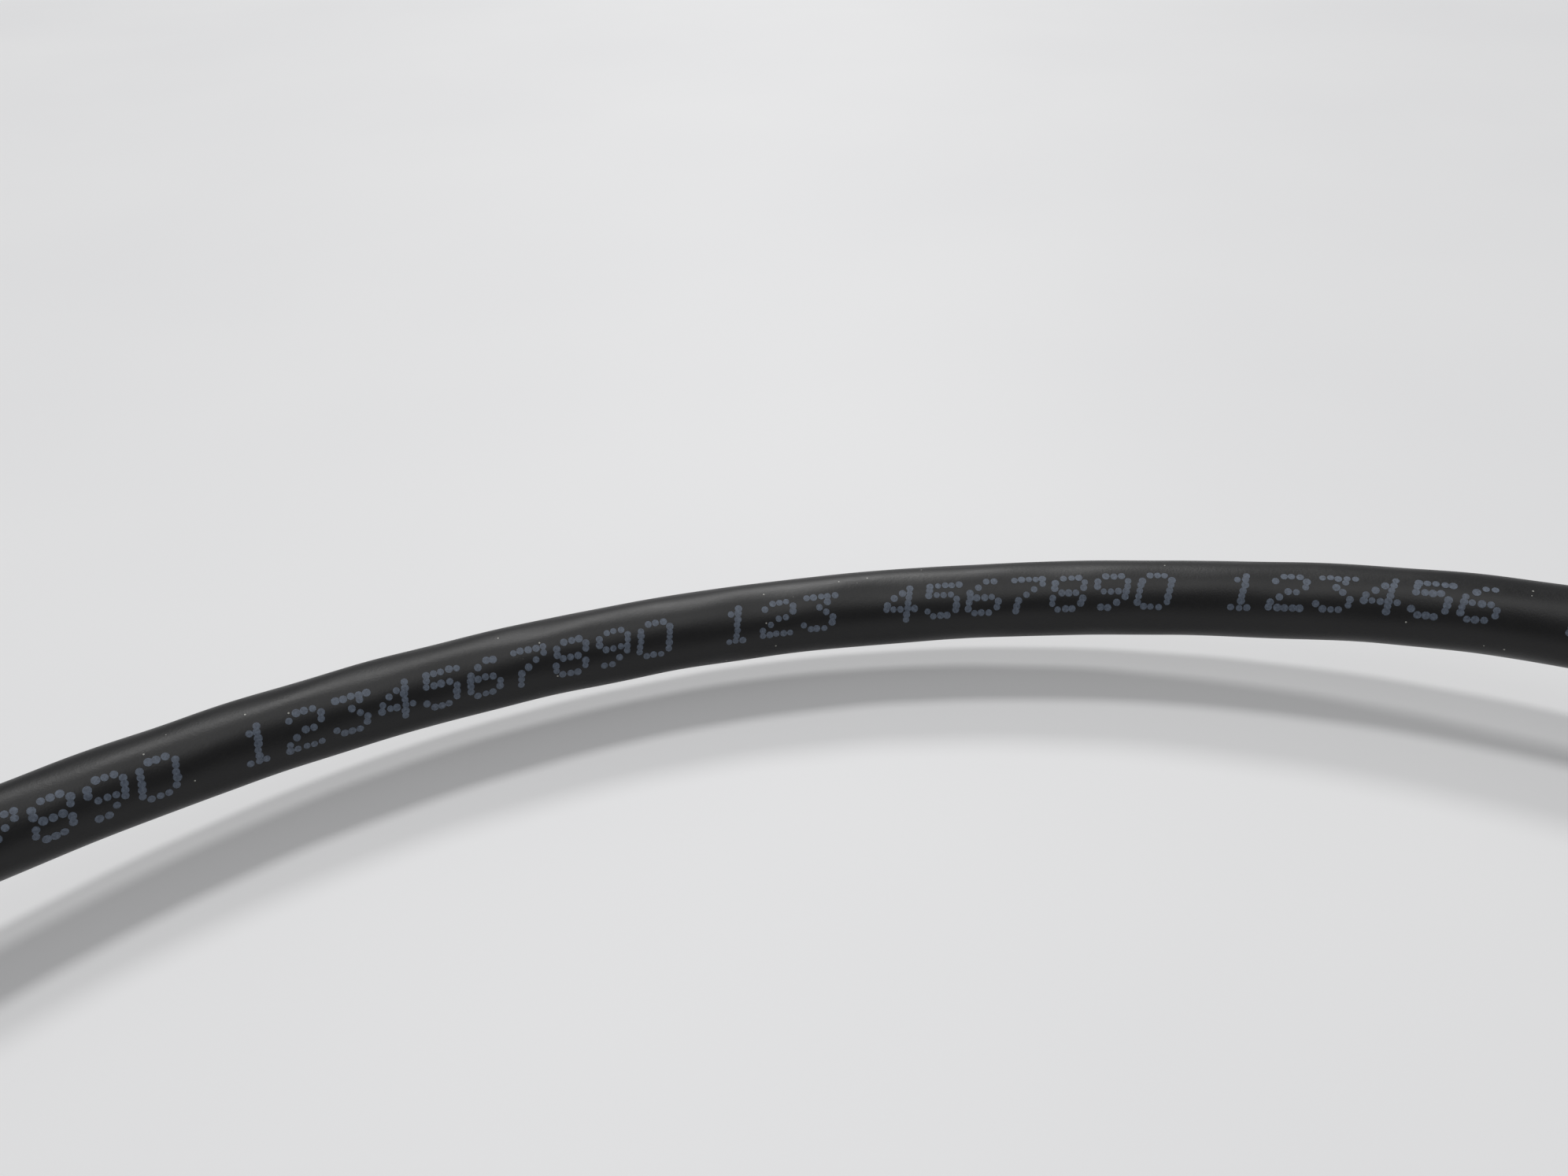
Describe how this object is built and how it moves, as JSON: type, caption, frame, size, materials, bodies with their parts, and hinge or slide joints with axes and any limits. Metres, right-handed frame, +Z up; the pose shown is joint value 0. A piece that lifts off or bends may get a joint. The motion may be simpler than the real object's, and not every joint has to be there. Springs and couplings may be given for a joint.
{
  "type": "five core sensor cable with round connectors",
  "caption": "Black jacketed sensor cable lying in a loop, with a knurled screw-on socket moulded on one end and a matching plug on the other.",
  "frame": {"origin": "on the table, at the bottom centre of the two connectors that lie side by side", "axes": "-X out of both mating faces, +X along the connectors towards the loop of cable, +Z up"},
  "size_m": [0.2131, 0.1834, 0.0145],
  "materials": {
    "jacket_black": "satin black polyurethane jacket with a fine grain",
    "overmould_black": "matte black moulded polyurethane",
    "core_mould": "dark grey moulded plastic",
    "carrier_plastic": "smooth black engineering plastic",
    "nickel_ring": "nickel plated, knurled",
    "contact_gold": "gold plated, turned",
    "seal_rubber": "smooth dark green rubber",
    "wire_copper": "bare stranded copper",
    "core_brown": "smooth insulation",
    "core_white": "smooth insulation",
    "core_blue": "smooth insulation",
    "core_black": "smooth insulation",
    "core_grey": "smooth insulation"
  },
  "bodies": {
    "root": {"cable": "jacket_black", "socket_overmould": "overmould_black", "socket_inner_mould": "core_mould", "socket_insert": "carrier_plastic", "socket_contact_1": "contact_gold", "socket_core_1": "core_brown", "socket_wire_1": "wire_copper", "socket_contact_2": "contact_gold", "socket_core_2": "core_white", "socket_wire_2": "wire_copper", "socket_contact_3": "contact_gold", "socket_core_3": "core_blue", "socket_wire_3": "wire_copper", "socket_contact_4": "contact_gold", "socket_core_4": "core_black", "socket_wire_4": "wire_copper", "socket_contact_5": "contact_gold", "socket_core_5": "core_grey", "socket_wire_5": "wire_copper", "plug_overmould": "overmould_black", "plug_inner_mould": "core_mould", "plug_insert": "carrier_plastic", "plug_pin_1": "contact_gold", "plug_core_1": "core_brown", "plug_wire_1": "wire_copper", "plug_pin_2": "contact_gold", "plug_core_2": "core_white", "plug_wire_2": "wire_copper", "plug_pin_3": "contact_gold", "plug_core_3": "core_blue", "plug_wire_3": "wire_copper", "plug_pin_4": "contact_gold", "plug_core_4": "core_black", "plug_wire_4": "wire_copper", "plug_pin_5": "contact_gold", "plug_core_5": "core_grey", "plug_wire_5": "wire_copper", "socket_seal_ring": "seal_rubber"},
    "socket_nut": {"socket_coupling_nut": "nickel_ring"},
    "plug_screw": {"plug_coupling_screw": "nickel_ring"}
  },
  "joints": [
    {"name": "socket_nut_turn", "type": "hinge", "parent": "root", "child": "socket_nut", "pos_m": [-0.015, 0.012, 0.00725], "axis": [-1, 0, 0], "continuous": true},
    {"name": "plug_screw_turn", "type": "hinge", "parent": "root", "child": "plug_screw", "pos_m": [-0.015, -0.012, 0.00725], "axis": [-1, 0, 0], "continuous": true}
  ]
}
